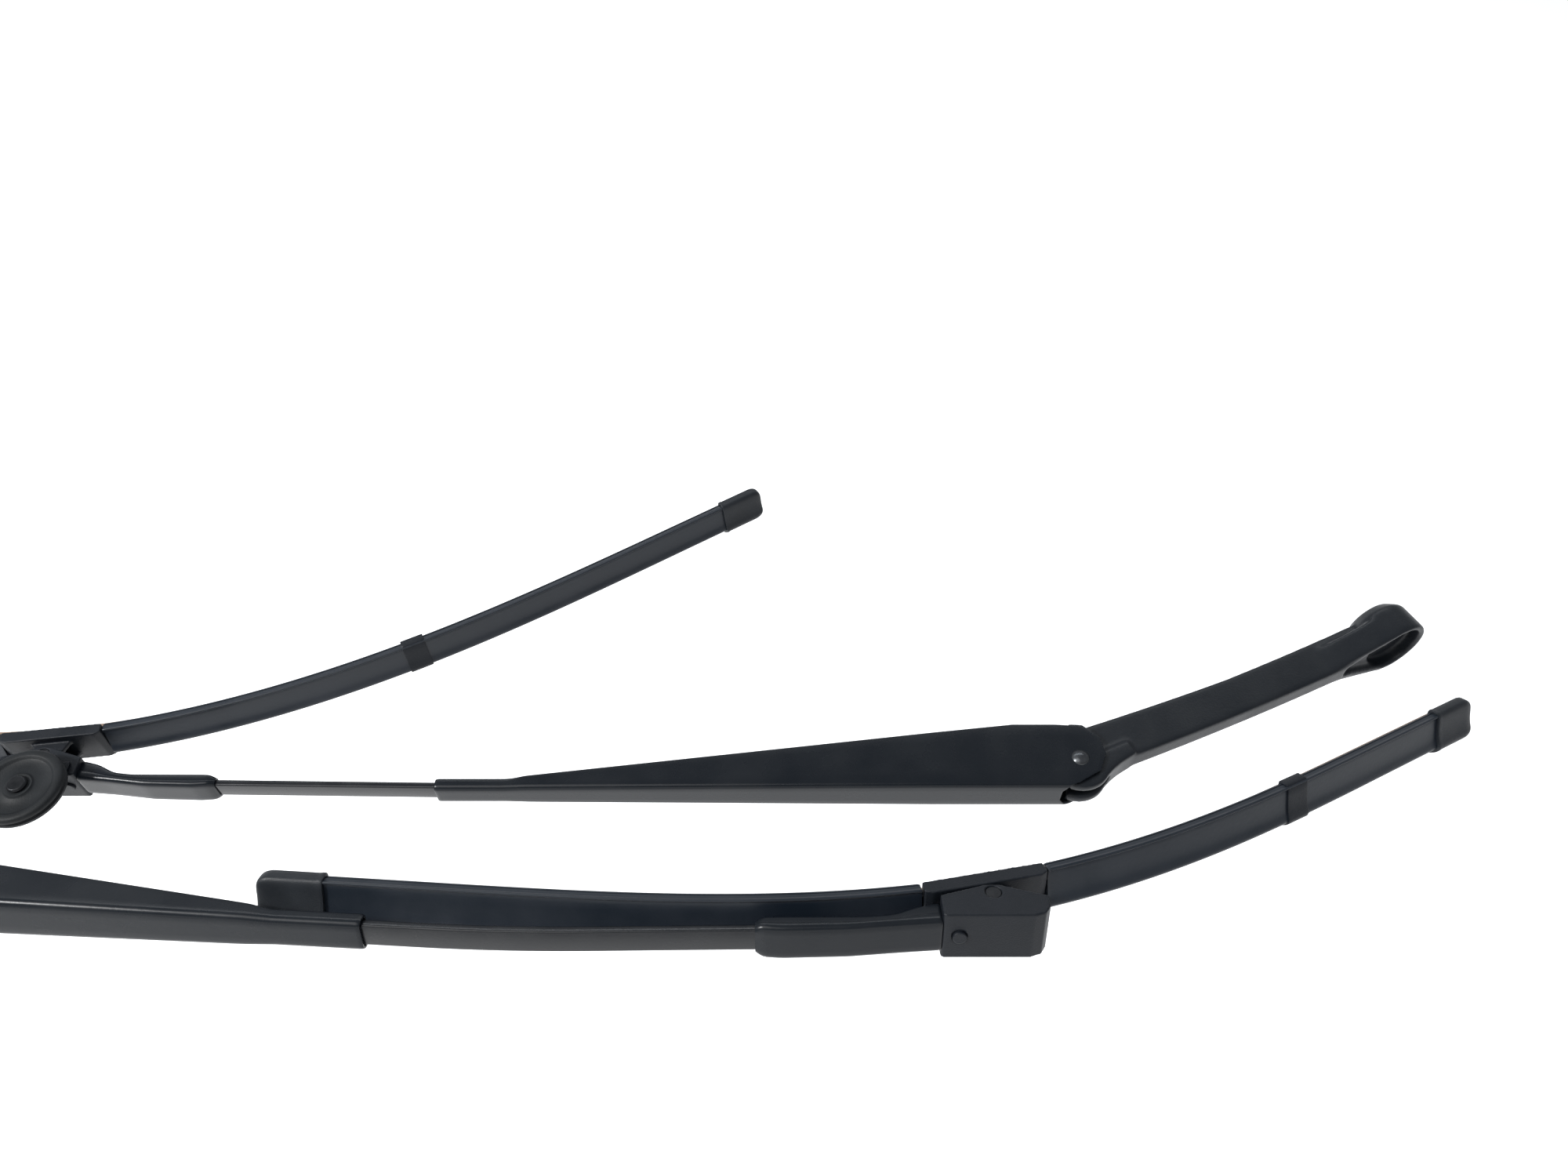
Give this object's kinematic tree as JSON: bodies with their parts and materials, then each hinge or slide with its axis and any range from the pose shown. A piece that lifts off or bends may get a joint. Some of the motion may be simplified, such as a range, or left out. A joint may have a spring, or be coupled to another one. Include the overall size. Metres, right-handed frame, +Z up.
{
  "type": "windshield wiper pair",
  "caption": "Pair of opposed windshield wipers with spring-loaded hinged arms, bowed beam blades on swivelling adapters, spindle eyes and a parking roller.",
  "frame": {"origin": "centre of the right head's spindle bore, 0.5 mm from the floor of its nut recess", "axes": "+X runs along the wipers, towards the right head's end; +Y to the side on which the glass lies; +Z up, along the right wiper's hinge pin"},
  "size_m": [0.918, 0.272, 0.1029],
  "materials": {
    "cast_black": "satin black powder coat on a die-cast link",
    "coated_steel": "satin black electro-coated sheet steel",
    "rod_black": "semi-gloss black coated flat bar",
    "rivet_black": "black coated rivet, worn at its crown",
    "zinc_steel": "bright zinc plated",
    "spring_steel": "oiled spring wire",
    "flexor_steel": "blackened spring strip",
    "bronze": "sintered bronze",
    "moulded_black": "fine-grained moulded plastic",
    "cap_black": "fine-grained moulded plastic",
    "spoiler_black": "smooth elastomer with a dull sheen",
    "blade_rubber": "graphite-coated rubber, brownish at the lip",
    "roller_rubber": "matt moulded rubber"
  },
  "bodies": {
    "heads": {"right_head": "cast_black", "right_hinge_bushes": "bronze", "right_spring_post": "zinc_steel", "left_head": "cast_black", "left_hinge_bushes": "bronze", "left_spring_post": "zinc_steel"},
    "right_arm": {"right_hinge_pin": "rivet_black", "right_arm_channel": "coated_steel", "right_arm_rod": "rod_black", "right_arm_end": "coated_steel", "right_adapter": "moulded_black", "park_bracket": "coated_steel", "park_axle": "rivet_black"},
    "right_blade": {"right_connector_base": "moulded_black", "right_pivot_pin": "zinc_steel", "right_flexor": "flexor_steel", "right_rubber": "blade_rubber", "right_spoiler_inner": "spoiler_black", "right_spoiler_outer": "spoiler_black", "right_blade_clips": "moulded_black", "right_cap_inner": "cap_black", "right_cap_outer": "cap_black"},
    "right_hook": {"right_spring_hook": "zinc_steel", "right_tension_spring": "spring_steel"},
    "right_button": {"right_release_button": "moulded_black"},
    "park_wheel": {"park_roller": "roller_rubber"},
    "left_arm": {"left_hinge_pin": "rivet_black", "left_arm_channel": "coated_steel", "left_arm_rod": "rod_black", "left_arm_end": "coated_steel", "left_adapter": "moulded_black"},
    "left_blade": {"left_connector_base": "moulded_black", "left_pivot_pin": "zinc_steel", "left_flexor": "flexor_steel", "left_rubber": "blade_rubber", "left_spoiler_inner": "spoiler_black", "left_spoiler_outer": "spoiler_black", "left_blade_clip": "moulded_black", "left_cap_inner": "cap_black", "left_cap_outer": "cap_black"},
    "left_hook": {"left_spring_hook": "zinc_steel", "left_tension_spring": "spring_steel"},
    "left_button": {"left_release_button": "moulded_black"}
  },
  "joints": [
    {"name": "right_arm_hinge", "type": "hinge", "parent": "heads", "child": "right_arm", "pos_m": [-0.15165, -0.06752, 0], "axis": [0, 0, 1], "range_deg": [0, 95], "stiffness_Nm_per_rad": 0.8, "springref_deg": -143.24, "deforming": ["right_tension_spring"]},
    {"name": "right_hook_pivot", "type": "hinge", "parent": "heads", "child": "right_hook", "pos_m": [-0.14965, -0.06102, 0], "axis": [0, 0, 1], "range_deg": [0, 92]},
    {"name": "right_blade_pivot", "type": "hinge", "parent": "right_arm", "child": "right_blade", "pos_m": [-0.57865, -0.06602, 0], "axis": [0, 0, 1], "range_deg": [-17, 12.5]},
    {"name": "right_button_press", "type": "slide", "parent": "right_arm", "child": "right_button", "axis": [0, 1, 0], "range_m": [0, 0.0012], "stiffness_N_per_m": 700, "springref_m": -0.001},
    {"name": "left_arm_hinge", "type": "hinge", "parent": "heads", "child": "left_arm", "pos_m": [-0.66362, -0.14575, 0.06825], "axis": [0, -0.3746, -0.9272], "range_deg": [0, 95], "stiffness_Nm_per_rad": 0.8, "springref_deg": -143.24, "deforming": ["left_tension_spring"]},
    {"name": "left_hook_pivot", "type": "hinge", "parent": "heads", "child": "left_hook", "pos_m": [-0.66516, -0.1396, 0.06577], "axis": [0, -0.3746, -0.9272], "range_deg": [0, 92]},
    {"name": "left_blade_pivot", "type": "hinge", "parent": "left_arm", "child": "left_blade", "pos_m": [-0.20915, -0.16503, 0.07604], "axis": [0, 0.3746, 0.9272], "range_deg": [-30, 0.5]},
    {"name": "left_button_press", "type": "slide", "parent": "left_arm", "child": "left_button", "axis": [0, 0.9272, -0.3746], "range_m": [0, 0.0012], "stiffness_N_per_m": 700, "springref_m": -0.001},
    {"name": "park_roller_spin", "type": "hinge", "parent": "right_arm", "child": "park_wheel", "pos_m": [-0.57665, -0.08512, 0.0136], "axis": [0, 0, 1], "continuous": true}
  ],
  "couplings": [
    {"joint": "right_hook_pivot", "follows": "right_arm_hinge", "ratio": 0.964},
    {"joint": "left_hook_pivot", "follows": "left_arm_hinge", "ratio": 0.964}
  ]
}
